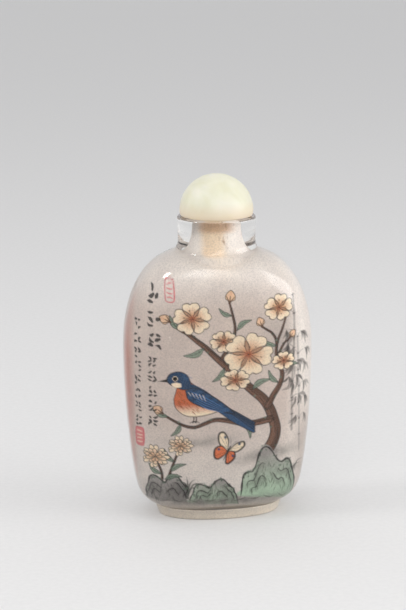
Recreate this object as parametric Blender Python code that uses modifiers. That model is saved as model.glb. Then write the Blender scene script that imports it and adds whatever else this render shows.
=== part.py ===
"""A flattened glass snuff bottle with a round neck, an oval foot and a domed stopper on a cork.

Metres, +Z up. The origin is on the surface that the bottle stands on, under the middle of its foot.
+X is the bottle's width, and its main face looks along -Y.
"""

from math import cos, pi, sin

import bmesh
import bpy

MM = 0.001

# Body of the bottle
BODY_WIDTH = 40.0 * MM
BODY_DEPTH = 23.0 * MM
BELLY_HEIGHT = 36.0 * MM  # where the body is widest
WALL = 2.6 * MM
BODY_SQUARENESS = 2.8  # 2 is an ellipse in plan, and more has flatter faces
WAIST_IN_WIDTH = 3.0 * MM  # how far each side draws in from the belly down to the foot's corner
WAIST_IN_DEPTH = 1.2 * MM

# Neck, lip and bore
NECK_RADIUS = 8.3 * MM
NECK_WAIST = 0.12 * MM  # how far the neck draws in at its middle
NECK_LENGTH = 7.3 * MM  # from the shoulder up to the lip
NECK_SPREAD = 0.25 * MM  # how much wider the neck is where it meets the shoulder
NECK_SPREAD_HEIGHT = 1.2 * MM
LIP_HEIGHT = 64.4 * MM
LIP_ROUNDING = 0.5 * MM
BORE_RADIUS = 3.3 * MM
BORE_STRAIGHT = 1.6 * MM  # length of the even bore under the lip, before it widens
BORE_FLARE = 2.3 * MM  # how much wider the bore is where it opens into the body
THROAT_WALL = 3.0 * MM  # glass over the hollow, beside the neck

# Foot
FOOT_WIDTH = 27.5 * MM
FOOT_DEPTH = 16.6 * MM
FOOT_HEIGHT = 2.3 * MM
FOOT_TAPER = 0.8 * MM
FOOT_ROUNDING = 0.45 * MM
FOOT_RING = 2.4 * MM  # width of the ring that the bottle stands on
FOOT_RECESS = 0.8 * MM
FOOT_SQUARENESS = 2.2
FLOOR_THICKNESS = 2.6 * MM  # glass between the foot's recess and the hollow

# Small steps where the body meets the foot and the neck, and the hollow meets the bore
FOOT_LEDGE = 0.25 * MM
NECK_LEDGE = 0.45 * MM
THROAT_LEDGE = 0.3 * MM

# Stopper
DOME_INSET = 0.55 * MM  # how far the lip stands out past the dome
DOME_GIRDLE = 0.9 * MM  # height of the nearly upright band under the half ball
DOME_DRAW_IN = 0.15 * MM  # how much narrower the girdle is at the lip
DOME_EDGE = 0.3 * MM
CORK_CLEARANCE = 0.3 * MM
CORK_TAPER = 0.25 * MM
CORK_LENGTH = 6.8 * MM
CORK_EDGE = 0.25 * MM
SEAT_GAP = 0.25 * MM  # air between pieces that rest on each other

# How the outlines turn in, as (waist, flatness, sharpness) for eased()
SHOULDER = {"width": (0.0, 2.3, 0.56), "depth": (0.0, 4.2, 0.50)}
SKIRT = {"width": (WAIST_IN_WIDTH, 22.0, 1.0), "depth": (WAIST_IN_DEPTH, 15.0, 1.0)}
CEILING = {"width": (0.0, 2.8, 0.50), "depth": (0.0, 4.4, 0.45)}

RING_POINTS = 60
SHOULDER_RINGS = 11
SKIRT_RINGS = 10
FLARE_RINGS = 4
ROUNDING_STEPS = 3
DOME_ARC_STEPS = 12
DOME_STEPS = 48
CORK_POINTS = 32
OVERLAP = 1.0 * MM  # how far shapes reach into each other before they are joined or cut

GLASS = {"Base Color": (0.86, 0.84, 0.83, 1.0), "Roughness": 0.05, "Metallic": 0.0}
STONE = {"Base Color": (0.90, 0.88, 0.72, 1.0), "Roughness": 0.18, "Metallic": 0.0}
CORK = {"Base Color": (0.62, 0.42, 0.25, 1.0), "Roughness": 0.85, "Metallic": 0.0}


def blended(start, end, share):
    return start + (end - start) * share


def eased(start, end, share, curve):
    """A size that draws in gently from start, then turns in to end, as share goes from 0 to 1."""
    waist, flatness, sharpness = curve
    return end + (start - waist * share**2 - end) * (1.0 - share**flatness) ** sharpness


def section(half_width, half_depth, height, squareness=2.0):
    """One ring of the vessel: a superellipse in plan, counterclockwise from above."""
    points = []
    for i in range(RING_POINTS):
        angle = 2.0 * pi * i / RING_POINTS
        across = abs(cos(angle)) ** (2.0 / squareness)
        along = abs(sin(angle)) ** (2.0 / squareness)
        x = half_width * (across if cos(angle) >= 0 else -across)
        y = half_depth * (along if sin(angle) >= 0 else -along)
        points.append((x, y, height))
    return points


def bulge(belly, end, end_height, end_squareness, count, curve):
    """Rings from the belly to one end of the body, closer together where the outline turns in."""
    rings = []
    for i in range(count + 1):
        share = sin(0.5 * pi * i / count)
        width = eased(belly[0], end[0], share, curve["width"])
        depth = eased(belly[1], end[1], share, curve["depth"])
        squareness = blended(BODY_SQUARENESS, end_squareness, share**5)
        rings.append(section(width, depth, blended(BELLY_HEIGHT, end_height, share), squareness))
    return rings


def rounding(radius):
    """Insets from the side and from the end of a rounded edge, as it runs from the end to the side."""
    turns = [0.5 * pi * i / ROUNDING_STEPS for i in range(ROUNDING_STEPS + 1)]
    return [(radius * (1.0 - sin(turn)), radius * (1.0 - cos(turn))) for turn in turns]


def add_object(name, mesh, collection):
    item = bpy.data.objects.new(name, mesh)
    collection.objects.link(item)
    return item


def add_loft(name, rings, collection):
    """A closed solid through the rings, which run from its lower end to its upper end."""
    mesh = bpy.data.meshes.new(name)
    shell = bmesh.new()
    rows = [[shell.verts.new(point) for point in ring] for ring in rings]
    for lower, upper in zip(rows, rows[1:]):
        for i in range(RING_POINTS):
            j = (i + 1) % RING_POINTS
            shell.faces.new((lower[i], lower[j], upper[j], upper[i]))
    shell.faces.new(list(reversed(rows[0])))
    shell.faces.new(rows[-1])
    shell.to_mesh(mesh)
    shell.free()
    mesh.shade_smooth()
    mesh.set_sharp_from_angle(angle=0.6)
    return add_object(name, mesh, collection)


def add_turned(name, profile, steps, collection):
    """A solid turned about the bottle's axis, from its outline of (radius, height), top to bottom."""
    mesh = bpy.data.meshes.new(name)
    line = bmesh.new()
    points = [line.verts.new((radius, 0.0, height)) for radius, height in profile]
    for upper, lower in zip(points, points[1:]):
        line.edges.new((upper, lower))
    line.to_mesh(mesh)
    line.free()
    item = add_object(name, mesh, collection)
    turned = item.modifiers.new("turned", "SCREW")
    turned.steps = turned.render_steps = steps
    turned.use_merge_vertices = True
    turned.merge_threshold = 0.00001
    turned.use_smooth_shade = True
    return item


def give_finish(item, values):
    """The item's own material, with the values of its finish."""
    material = bpy.data.materials.new(item.name)
    material.use_nodes = True
    shader = material.node_tree.nodes["Principled BSDF"]
    for socket, value in values.items():
        shader.inputs[socket].default_value = value
    material.diffuse_color = values["Base Color"]
    item.data.materials.append(material)


def combine(item, other, operation):
    """Join the other shape to the item or cut it out, and keep the other shape as a guide."""
    step = item.modifiers.new(other.name, "BOOLEAN")
    step.operation = operation
    step.solver = "EXACT"
    step.object = other
    other.hide_render = True
    other.display_type = "WIRE"


def make_neck(neck_base, guides):
    """The round neck with its rounded lip, from the lip down into the shoulder."""
    profile = [(0.0, LIP_HEIGHT)]
    profile += [(NECK_RADIUS - inset, LIP_HEIGHT - drop) for inset, drop in rounding(LIP_ROUNDING)]
    side_top = LIP_HEIGHT - LIP_ROUNDING
    for share in (0.25, 0.5, 0.75):
        profile.append((NECK_RADIUS - NECK_WAIST * sin(pi * share), blended(side_top, neck_base, share)))
    for share in (0.4, 1.0):
        spread = NECK_SPREAD * share**3
        profile.append((NECK_RADIUS + spread, neck_base + NECK_SPREAD_HEIGHT * (1.0 - share)))
    profile.append((NECK_RADIUS + NECK_SPREAD, neck_base - OVERLAP))
    profile.append((0.0, neck_base - OVERLAP))
    return add_turned("neck", profile, RING_POINTS, guides)


def make_bore(throat, guides):
    """The bore: even under the lip, then wider and wider down to the hollow."""
    flare_top = LIP_HEIGHT - BORE_STRAIGHT
    profile = [(0.0, LIP_HEIGHT + OVERLAP), (BORE_RADIUS, LIP_HEIGHT + OVERLAP)]
    for i in range(FLARE_RINGS + 1):
        share = i / FLARE_RINGS
        profile.append((BORE_RADIUS + BORE_FLARE * share**2, blended(flare_top, throat, share)))
    profile.append((BORE_RADIUS + BORE_FLARE, throat - OVERLAP))
    profile.append((0.0, throat - OVERLAP))
    return add_turned("bore", profile, RING_POINTS, guides)


def make_foot(guides):
    """The low oval foot, which widens upwards and is rounded at the edge that it stands on."""
    width, depth = FOOT_WIDTH / 2, FOOT_DEPTH / 2
    rings = []
    for inset, rise in rounding(FOOT_ROUNDING):
        inset += FOOT_TAPER
        rings.append(section(width - inset, depth - inset, rise, FOOT_SQUARENESS))
    rings.append(section(width, depth, FOOT_HEIGHT, FOOT_SQUARENESS))
    rings.append(section(width, depth, FOOT_HEIGHT + OVERLAP, FOOT_SQUARENESS))
    return add_loft("foot", rings, guides)


def make_recess(guides):
    """The shallow hollow under the foot that leaves a ring to stand on."""
    inset = FOOT_TAPER + FOOT_RING
    width, depth = FOOT_WIDTH / 2 - inset, FOOT_DEPTH / 2 - inset
    heights = (-OVERLAP, FOOT_RECESS)
    rings = [section(width, depth, height, FOOT_SQUARENESS) for height in heights]
    return add_loft("foot recess", rings, guides)


def make_hollow(throat, guides):
    """The space inside the body, one wall within its outside."""
    belly = (BODY_WIDTH / 2 - WALL, BODY_DEPTH / 2 - WALL)
    floor = (FOOT_WIDTH / 2 - WALL, FOOT_DEPTH / 2 - WALL)
    mouth = BORE_RADIUS + BORE_FLARE + THROAT_LEDGE
    floor_height = FOOT_RECESS + FLOOR_THICKNESS
    lower = bulge(belly, floor, floor_height, FOOT_SQUARENESS, SKIRT_RINGS, SKIRT)
    upper = bulge(belly, (mouth, mouth), throat, 2.0, SHOULDER_RINGS, CEILING)
    return add_loft("hollow", lower[::-1] + upper[1:], guides)


def make_bottle(collection, guides):
    """The glass vessel: its body, neck and foot in one, less the hollow, the bore and the foot's recess."""
    neck_base = LIP_HEIGHT - NECK_LENGTH
    throat = neck_base - THROAT_WALL
    belly = (BODY_WIDTH / 2, BODY_DEPTH / 2)
    foot_end = (FOOT_WIDTH / 2 - FOOT_LEDGE, FOOT_DEPTH / 2 - FOOT_LEDGE)
    neck_end = NECK_RADIUS + NECK_LEDGE
    skirt = bulge(belly, foot_end, FOOT_HEIGHT, FOOT_SQUARENESS, SKIRT_RINGS, SKIRT)
    shoulder = bulge(belly, (neck_end, neck_end), neck_base, 2.0, SHOULDER_RINGS, SHOULDER)
    bottle = add_loft("glass_bottle", skirt[::-1] + shoulder[1:], collection)
    give_finish(bottle, GLASS)
    combine(bottle, make_neck(neck_base, guides), "UNION")
    combine(bottle, make_foot(guides), "UNION")
    combine(bottle, make_hollow(throat, guides), "DIFFERENCE")
    combine(bottle, make_bore(throat, guides), "DIFFERENCE")
    combine(bottle, make_recess(guides), "DIFFERENCE")


def make_stopper_dome(collection):
    """The polished stone cap: a half ball over a short girdle, resting on the lip."""
    radius = NECK_RADIUS - DOME_INSET
    seat = LIP_HEIGHT + SEAT_GAP
    centre = seat + DOME_GIRDLE
    profile = []
    for i in range(DOME_ARC_STEPS + 1):
        turn = 0.5 * pi * i / DOME_ARC_STEPS
        profile.append((radius * sin(turn), centre + radius * cos(turn)))
    for inset, rise in reversed(rounding(DOME_EDGE)):
        profile.append((radius - DOME_DRAW_IN - inset, seat + rise))
    profile.append((0.0, seat))
    dome = add_turned("stopper_dome", profile, DOME_STEPS, collection)
    give_finish(dome, STONE)


def make_stopper_cork(collection):
    """The tapered cork plug that hangs under the dome, inside the bore."""
    radius = BORE_RADIUS - CORK_CLEARANCE
    mesh = bpy.data.meshes.new("stopper_cork")
    plug = bmesh.new()
    bmesh.ops.create_cone(
        plug,
        cap_ends=True,
        segments=CORK_POINTS,
        radius1=radius - CORK_TAPER,
        radius2=radius,
        depth=CORK_LENGTH,
    )
    plug.to_mesh(mesh)
    plug.free()
    mesh.shade_smooth()
    mesh.set_sharp_from_angle(angle=0.6)
    cork = add_object("stopper_cork", mesh, collection)
    cork.location.z = LIP_HEIGHT - CORK_LENGTH / 2
    give_finish(cork, CORK)
    edges = cork.modifiers.new("worn edges", "BEVEL")
    edges.width = CORK_EDGE
    edges.segments = 2


def main():
    for item in list(bpy.data.objects):
        bpy.data.objects.remove(item)
    collection = bpy.data.collections.new("snuff_bottle")
    guides = bpy.data.collections.new("cutters")
    bpy.context.scene.collection.children.link(collection)
    bpy.context.scene.collection.children.link(guides)
    make_bottle(collection, guides)
    make_stopper_dome(collection)
    make_stopper_cork(collection)


main()
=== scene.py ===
"""A clear glass snuff bottle, frosted and painted on the inside of its wall, with a domed stopper.

Every length is in metres unless a name says mm. +X is the bottle's width, the main face looks along
-Y, and Z is height over the surface that it stands on.
"""

from math import cos, pi, radians, sin

import bmesh
import bpy
import numpy as np
from bpy.props import FloatProperty, FloatVectorProperty, PointerProperty
from mathutils import Matrix, Vector


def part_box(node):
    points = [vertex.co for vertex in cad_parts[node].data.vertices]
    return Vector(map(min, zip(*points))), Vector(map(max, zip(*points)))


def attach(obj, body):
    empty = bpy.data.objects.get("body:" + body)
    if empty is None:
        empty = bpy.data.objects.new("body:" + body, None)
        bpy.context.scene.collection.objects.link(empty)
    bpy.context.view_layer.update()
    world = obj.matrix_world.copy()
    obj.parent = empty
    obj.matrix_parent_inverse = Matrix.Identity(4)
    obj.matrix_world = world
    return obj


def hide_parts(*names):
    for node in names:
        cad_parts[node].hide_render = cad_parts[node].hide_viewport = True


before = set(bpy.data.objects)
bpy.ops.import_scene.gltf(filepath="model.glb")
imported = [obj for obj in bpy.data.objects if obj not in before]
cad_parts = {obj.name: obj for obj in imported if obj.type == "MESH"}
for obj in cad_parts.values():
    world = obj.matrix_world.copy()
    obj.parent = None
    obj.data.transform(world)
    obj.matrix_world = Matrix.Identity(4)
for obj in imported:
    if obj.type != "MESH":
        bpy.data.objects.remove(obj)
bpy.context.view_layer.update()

bl_info = {
    "name": "Painted Glass Snuff Bottle",
    "version": (1, 0, 0),
    "blender": (4, 5, 0),
    "location": "3D View > Sidebar > Snuff Bottle",
    "description": "Makes a flattened glass snuff bottle, painted inside, with its stopper",
    "category": "Add Mesh",
}

MM = 0.001
IMAGE_HEIGHT = 610.0  # pixels, as are the two aims
PIXELS_A_MM = 4.70  # at the bottle
AIM_RIGHT, AIM_UP = 14.0, 46.5  # how far the picture's middle lies from the camera's target
CAMERA_TARGET, LAMP_TARGET = Vector((0.0, 0.0, 0.035)), Vector((0.0, 0.0, 0.045))
GLASS_LOW, GLASS_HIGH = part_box("glass_bottle")
DOME_LOW, DOME_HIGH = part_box("stopper_dome")
CORK_LOW, CORK_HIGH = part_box("stopper_cork")


def length(name, default, description):
    return number(name, default, description, unit="LENGTH", precision=5)


def colour(name, default, description):
    return FloatVectorProperty(
        name=name, description=description, default=default, subtype="COLOR", size=3, min=0.0, max=1.0
    )


def number(name, default, description, **more):
    return FloatProperty(name=name, description=description, default=default, **more)


def angle(name, degrees, description):
    return number(name, radians(degrees), description, unit="ROTATION")


class BottleSizes(bpy.types.PropertyGroup):
    body_width: length("Body Width", GLASS_HIGH.x - GLASS_LOW.x, "Across the flattened body")
    body_depth: length("Body Depth", GLASS_HIGH.y - GLASS_LOW.y, "From face to face")
    belly_height: length("Belly Height", 36.0 * MM, "Where the body is widest")
    wall: length("Wall", 2.6 * MM, "Thickness of the glass")
    waist_in_width: length("Waist In Width", 3.0 * MM, "How far the sides draw in towards the foot")
    waist_in_depth: length("Waist In Depth", 1.2 * MM, "How far the faces draw in towards the foot")
    neck_radius: length("Neck Radius", 8.3 * MM, "Outside of the neck")
    neck_waist: length("Neck Waist", 0.12 * MM, "How far the neck draws in at its middle")
    neck_length: length("Neck Length", 7.3 * MM, "From the shoulder to the lip")
    neck_spread: length("Neck Spread", 0.25 * MM, "How much wider the neck is where it meets the shoulder")
    lip_height: length("Lip Height", GLASS_HIGH.z, "Top of the lip")
    bore_radius: length("Bore Radius", 3.3 * MM, "Inside of the neck")
    bore_straight: length("Bore Straight", 1.6 * MM, "Even length of the bore under the lip")
    bore_flare: length("Bore Flare", 2.3 * MM, "How much wider the bore is at the hollow")
    throat_wall: length("Throat Wall", 3.0 * MM, "Glass over the hollow, beside the neck")
    foot_width: length("Foot Width", 27.5 * MM, "Across the oval foot")
    foot_depth: length("Foot Depth", 16.6 * MM, "Depth of the oval foot")
    foot_height: length("Foot Height", 2.3 * MM, "From the table to the body")
    foot_taper: length("Foot Taper", 0.8 * MM, "How far the foot narrows downwards")
    foot_ring: length("Foot Ring", 2.4 * MM, "Width of the ring that it stands on")
    foot_recess: length("Foot Recess", 0.8 * MM, "Depth of the hollow inside the ring")
    floor: length("Floor", 2.6 * MM, "Glass under the hollow")
    paint_depth: length("Paint Depth", 0.06 * MM, "How far the paint lies within the glass")


class StopperSizes(bpy.types.PropertyGroup):
    dome_radius: length("Dome Radius", DOME_HIGH.x, "Radius of the half ball")
    girdle: length("Girdle", 0.9 * MM, "Upright band under the half ball")
    draw_in: length("Draw In", 0.15 * MM, "How far the girdle narrows downwards")
    cork_radius: length("Cork Radius", CORK_HIGH.x, "Radius of the plug at its top")
    cork_taper: length("Cork Taper", 0.25 * MM, "How much thinner it is at its end")
    pore_depth: length("Pore Depth", 0.22 * MM, "Depth of the pits in the cork")
    pore_size: length("Pore Size", 1.3 * MM, "Spacing of the pits in the cork")


class PaintColours(bpy.types.PropertyGroup):
    ground: colour("Ground", (0.815, 0.757, 0.722), "Frosted ground of the faces")
    # Haze and painted light: paler frosting that also carries painted light on the shoulders and neck and a
    # painted reflection down one side
    haze: colour("Haze And Painted Light", (0.900, 0.872, 0.846), "Thinly frosted shoulders and one side")
    # A painted reflection: the warm tint down the left side
    warm_reflection: colour("Warm Reflection", (0.780, 0.540, 0.480), "Warm tint down the left side")
    ink: colour("Ink", (0.110, 0.095, 0.090), "Outlines and brush strokes")
    bark: colour("Bark", (0.360, 0.255, 0.200), "Branches")
    petal: colour("Petal", (0.955, 0.880, 0.770), "Outer part of the petals")
    flush: colour("Flush", (0.870, 0.665, 0.510), "Inner part of the petals")
    navy: colour("Navy", (0.130, 0.245, 0.375), "Back and wings of the bird")
    rust: colour("Rust", (0.790, 0.415, 0.255), "Breast of the bird")
    celadon: colour("Celadon", (0.600, 0.690, 0.600), "Rock and young leaves")
    stone: colour("Stone", (0.520, 0.505, 0.490), "Rock and washes")
    seal: colour("Seal", (0.850, 0.400, 0.430), "Seals")
    cork: colour("Cork", (0.985, 0.890, 0.775), "Cork where it shows through the frosted neck")


class StageSettings(bpy.types.PropertyGroup):
    distance: length("Camera Distance", 0.45, "From the camera to the bottle")
    azimuth: angle("Azimuth", -9.0, "Turn of the camera")
    elevation: angle("Elevation", 14.5, "Rise of the camera")
    roll: angle("Roll", 0.45, "Roll of the camera")
    floor_tone: colour("Floor Tone", (0.90, 0.895, 0.89), "Pale floor")
    room_light: number("Room Light", 0.72, "Strength of the even light around")
    left_power: number("Left Power", 0.7, "Power of the left lamp, in watts")
    front_power: number("Front Power", 1.4, "Power of the front lamp, in watts")
    right_power: number("Right Power", 1.8, "Power of the right lamp, in watts")
    top_power: number("Top Power", 0.6, "Power of the top lamp, in watts")


# Outlines of the glass: rows of half width, half depth, height and squareness


def eased(start, end, share, curve):
    waist, flatness, sharpness = curve
    return end + (start - waist * share**2 - end) * (1.0 - share**flatness) ** sharpness


def bulge(belly, end, belly_height, end_height, squarenesses, curves):
    """Rows from the belly to one end of the body, closer together where the outline turns in."""
    share = np.sin(np.linspace(0.0, 0.5 * pi, BULGE_ROWS))
    width = eased(belly[0], end[0], share, curves[0])
    depth = eased(belly[1], end[1], share, curves[1])
    height = belly_height + (end_height - belly_height) * share
    squareness = squarenesses[0] + (squarenesses[1] - squarenesses[0]) * share**5
    return np.stack([width, depth, height, squareness], 1)


BODY_SQUARENESS, FOOT_SQUARENESS = 2.8, 2.2
BULGE_ROWS = 91
EDGE = 0.22 * MM  # how round the edges of the glass are
SHOULDER_EDGE = 1.2 * MM  # how round the shoulder is where it meets the neck
# How the outline turns in above the belly, in width and in depth: its waist, flatness and sharpness
SHOULDER = ((0.0, 2.3, 0.56), (0.0, 4.2, 0.50))
CEILING = ((0.0, 2.8, 0.50), (0.0, 4.4, 0.45))


def skirt_curves(sizes):
    return ((sizes.waist_in_width, 22.0, 1.0), (sizes.waist_in_depth, 15.0, 1.0))


def unit(value):
    return np.clip(value, 0.0, 1.0)


def between(start, end, count):
    share = np.linspace(0.0, 1.0, count)[:, None]
    return np.array(start) * (1.0 - share) + np.array(end) * share


def run_along(rows):
    steps = np.linalg.norm(np.diff(rows[:, :3], axis=0), axis=1)
    return np.concatenate([[0.0], np.cumsum(steps)])


def rounded_off(rows, radius):
    """The rows, spaced evenly by a twentieth of a millimetre, with their corners eased over the radius."""
    rows = rows[np.concatenate([[True], np.abs(np.diff(rows, axis=0)).max(1) > 1e-9])]
    run = run_along(rows)
    step = 0.05 * MM
    fine = np.arange(0.0, run[-1], step)
    even = np.stack([np.interp(fine, run, rows[:, k]) for k in range(4)], 1)
    reach = int(3 * radius / step)
    weights = np.exp(-0.5 * (np.arange(-reach, reach + 1) * step / radius) ** 2)
    weights /= weights.sum()
    before, after = 2 * even[:1] - even[reach:0:-1], 2 * even[-1:] - even[-2 : -reach - 2 : -1]
    padded = np.concatenate([before, even, after])
    eased_rows = np.stack([np.convolve(padded[:, k], weights, "valid") for k in range(4)], 1)
    eased_rows[0], eased_rows[-1] = rows[0], rows[-1]
    return eased_rows


def foot_rows(sizes):
    """From under the middle of the foot, round the ring that it stands on, to the top of its side."""
    wide, deep, oval = sizes.foot_width / 2, sizes.foot_depth / 2, FOOT_SQUARENESS
    foot = sizes.foot_taper
    inner, recess = foot + sizes.foot_ring, sizes.foot_recess
    return np.concatenate(
        [
            between((0, 0, recess, oval), (wide - inner, deep - inner, recess, oval), 12),
            between((wide - inner, deep - inner, 0, oval), (wide - foot, deep - foot, 0, oval), 6),
            [(wide, deep, sizes.foot_height, oval)],
        ]
    )


def outside_rows(sizes):
    """From under the middle of the foot, up the outside, to the lip."""
    wide, deep = sizes.foot_width / 2, sizes.foot_depth / 2
    neck, lip = sizes.neck_radius, sizes.lip_height
    base = lip - sizes.neck_length
    belly = (sizes.body_width / 2, sizes.body_depth / 2)
    square, oval = BODY_SQUARENESS, FOOT_SQUARENESS
    skirt = bulge(
        belly,
        (wide - 0.25 * MM, deep - 0.25 * MM),
        sizes.belly_height,
        sizes.foot_height,
        (square, oval),
        skirt_curves(sizes),
    )
    crest = (neck + 0.45 * MM, neck + 0.45 * MM)
    shoulder = bulge(belly, crest, sizes.belly_height, base, (square, 2.0), SHOULDER)
    rise = np.linspace(0.0, 1.0, 20)
    side = neck - sizes.neck_waist * np.sin(pi * rise)
    side += sizes.neck_spread * unit(1.0 - rise * sizes.neck_length / (1.2 * MM)) ** 3
    return np.concatenate(
        [
            foot_rows(sizes),
            skirt[::-1],
            shoulder[1:],
            np.stack([side, side, base + sizes.neck_length * rise, np.full(20, 2.0)], 1),
        ]
    )


def hollow_rows(sizes):
    """From the bore at the lip, down its flare and the wall, to the middle of the hollow's floor."""
    throat = sizes.lip_height - sizes.neck_length - sizes.throat_wall
    flare_top = sizes.lip_height - sizes.bore_straight
    share = np.linspace(0.0, 1.0, 24)
    flare = sizes.bore_radius + sizes.bore_flare * share**2
    height = flare_top + (throat - flare_top) * share
    mouth = sizes.bore_radius + sizes.bore_flare
    belly = (sizes.body_width / 2 - sizes.wall, sizes.body_depth / 2 - sizes.wall)
    floor = (sizes.foot_width / 2 - sizes.wall, sizes.foot_depth / 2 - sizes.wall)
    floor_height = sizes.foot_recess + sizes.floor
    square, oval = BODY_SQUARENESS, FOOT_SQUARENESS
    ceiling = bulge(belly, (mouth, mouth), sizes.belly_height, throat, (square, 2.0), CEILING)
    skirt = bulge(belly, floor, sizes.belly_height, floor_height, (square, oval), skirt_curves(sizes))
    return np.concatenate(
        [
            [(sizes.bore_radius, sizes.bore_radius, sizes.lip_height, 2.0)],
            np.stack([flare, flare, height, np.full(24, 2.0)], 1),
            ceiling[::-1],
            skirt[1:],
            between((floor[0], floor[1], floor_height, oval), (0, 0, floor_height, oval), 16)[1:],
        ]
    )


def pushed_out(rows, distance):
    """Rows of an inside wall, moved into the glass by the distance."""
    along = np.gradient(rows[:, :3], axis=0)
    moved = rows.copy()
    across = np.stack([-along[:, 2], along[:, 0]], 1) / np.linalg.norm(along[:, [0, 2]], axis=1)[:, None]
    deep = np.stack([-along[:, 2], along[:, 1]], 1) / np.linalg.norm(along[:, 1:3], axis=1)[:, None]
    moved[:, 0] += across[:, 0] * distance
    moved[:, 1] += deep[:, 0] * distance
    moved[:, 2] += across[:, 1] * distance
    moved[[0, -1]] = np.where(rows[[0, -1], :1] < 1e-6, moved[[0, -1]] * (0, 0, 1, 1), moved[[0, -1]])
    return moved


# The node tree that turns an outline into a closed skin


class Nodes:
    """Adds nodes to a tree and wires them, by the names of their sockets."""

    def __init__(self, tree):
        self.tree = tree

    def wire(self, source, socket):
        self.tree.links.new(source, socket)

    def add(self, kind, wires=(), out=0, **settings):
        node = self.tree.nodes.new(kind)
        for name, value in settings.items():
            setattr(node, name, value)
        for place, source in dict(wires).items():
            socket = node.inputs[place]
            if isinstance(source, bpy.types.NodeSocket):
                self.tree.links.new(source, socket)
            else:
                socket.default_value = source
        return node.outputs[out] if node.outputs else node

    def math(self, operation, *values):
        return self.add("ShaderNodeMath", dict(enumerate(values)), operation=operation)

    def ranged(self, value, low, high, start=0.0, end=1.0, **settings):
        """The value, stretched from the range low to high onto the range start to end."""
        wires = {"Value": value, "From Min": low, "From Max": high, "To Min": start, "To Max": end}
        return self.add("ShaderNodeMapRange", wires, **settings)


def loft_tree():
    """Geometry nodes: each point of the outline becomes a ring, and the rings become one closed skin."""
    tree = bpy.data.node_groups.get("Loft From Outline")
    if tree:
        return tree
    tree = bpy.data.node_groups.new("Loft From Outline", "GeometryNodeTree")
    for name, kind, value in (
        ("Outline", "Geometry", None), ("Points Around", "Int", 96), ("Dent Depth", "Float", 0.0),
        ("Dent Size", "Float", 0.01), ("Dent Share", "Float", 1.0), ("Dent Detail", "Float", 3.0),
        ("Seed", "Float", 3.0), ("Material", "Material", None),
    ):
        socket = tree.interface.new_socket(name, in_out="INPUT", socket_type="NodeSocket" + kind)
        if value is not None:
            socket.default_value = value
    tree.interface.new_socket("Skin", in_out="OUTPUT", socket_type="NodeSocketGeometry")
    nodes = Nodes(tree)
    add, math = nodes.add, nodes.math
    given = tree.nodes.new("NodeGroupInput").outputs
    count = add("GeometryNodeAttributeDomainSize", {"Geometry": given["Outline"]})
    columns = math("ADD", given["Points Around"], 1.0)
    grid = add("GeometryNodeMeshGrid", {"Vertices X": columns, "Vertices Y": count})
    index = add("GeometryNodeInputIndex")
    ring = math("MODULO", index, count)
    turn = math("FLOOR", math("DIVIDE", math("ADD", index, 0.5), count))
    angle = math("MULTIPLY", math("DIVIDE", turn, given["Points Around"]), 2.0 * pi)

    def sampled(value, kind):
        wires = {"Geometry": given["Outline"], "Value": value, "Index": ring}
        return add("GeometryNodeSampleIndex", wires, data_type=kind)

    sizes = sampled(add("GeometryNodeInputPosition"), "FLOAT_VECTOR")
    named = add("GeometryNodeInputNamedAttribute", {"Name": "squareness"}, data_type="FLOAT")
    square = sampled(named, "FLOAT")
    split = add("ShaderNodeSeparateXYZ", {0: sizes}).node.outputs
    ways = math("COSINE", angle), math("SINE", angle)
    parts = [
        math("POWER", math("DIVIDE", math("ABSOLUTE", way), math("MAXIMUM", size, 1e-6)), square)
        for way, size in zip(ways, split)
    ]
    radius = math("POWER", math("ADD", *parts), math("DIVIDE", -1.0, square))
    across, along = (math("MULTIPLY", radius, way) for way in ways)
    point = add("ShaderNodeCombineXYZ", {0: across, 1: along, 2: split[2]})
    skin = add("GeometryNodeSetPosition", {"Geometry": grid, "Position": point})
    closed = add("GeometryNodeMergeByDistance", {"Geometry": skin, "Distance": 4e-6})
    scale = math("DIVIDE", 1.0, given["Dent Size"])
    wires = {"Scale": scale, "W": given["Seed"], "Detail": given["Dent Detail"]}
    cloud = add("ShaderNodeTexNoise", wires, noise_dimensions="4D")
    low = math("SUBTRACT", 0.62, math("MULTIPLY", given["Dent Share"], 0.32))
    dent = nodes.ranged(cloud, low, 0.72, 0.0, math("MULTIPLY", given["Dent Depth"], -1.0))
    normal = add("GeometryNodeInputNormal")
    offset = add("ShaderNodeVectorMath", {0: normal, 3: dent}, operation="SCALE")
    dented = add("GeometryNodeSetPosition", {"Geometry": closed, "Offset": offset})
    smooth = add("GeometryNodeSetShadeSmooth", {"Geometry": dented})
    real = add("GeometryNodeRealizeInstances", {"Geometry": smooth})
    done = add("GeometryNodeSetMaterial", {"Geometry": real, "Material": given["Material"]})
    tree.links.new(done, tree.nodes.new("NodeGroupOutput").inputs[0])
    return tree


def linked(name, data):
    thing = bpy.data.objects.new(name, data)
    bpy.context.scene.collection.objects.link(thing)
    return thing


def lofted(name, rows, material, around, **inputs):
    """A piece made by the node tree from rows of half width, half depth, height and squareness."""
    mesh = bpy.data.meshes.new(name)
    mesh.vertices.add(len(rows))
    mesh.vertices.foreach_set("co", rows[:, :3].astype(np.float32).ravel())
    squareness = mesh.attributes.new("squareness", "FLOAT", "POINT")
    squareness.data.foreach_set("value", rows[:, 3].astype(np.float32))
    piece = linked(name, mesh)
    step = piece.modifiers.new("loft", "NODES")
    step.node_group = loft_tree()
    values = {"Points Around": around, "Material": material, **inputs}
    for socket in step.node_group.interface.items_tree:
        if socket.in_out == "INPUT" and socket.name in values:
            step[socket.identifier] = values[socket.name]
    bpy.context.view_layer.update()
    made = bpy.data.meshes.new_from_object(piece.evaluated_get(bpy.context.evaluated_depsgraph_get()))
    piece.modifiers.remove(step)
    piece.data = made
    bpy.data.meshes.remove(mesh)
    made.name = name
    if len(made.polygons) < len(rows):
        raise RuntimeError(f"{name} was not lofted")
    return piece


def placed(piece, *nodes, slot):
    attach(piece, "root")
    if nodes:
        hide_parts(*nodes)
    return piece


# Materials


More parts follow.
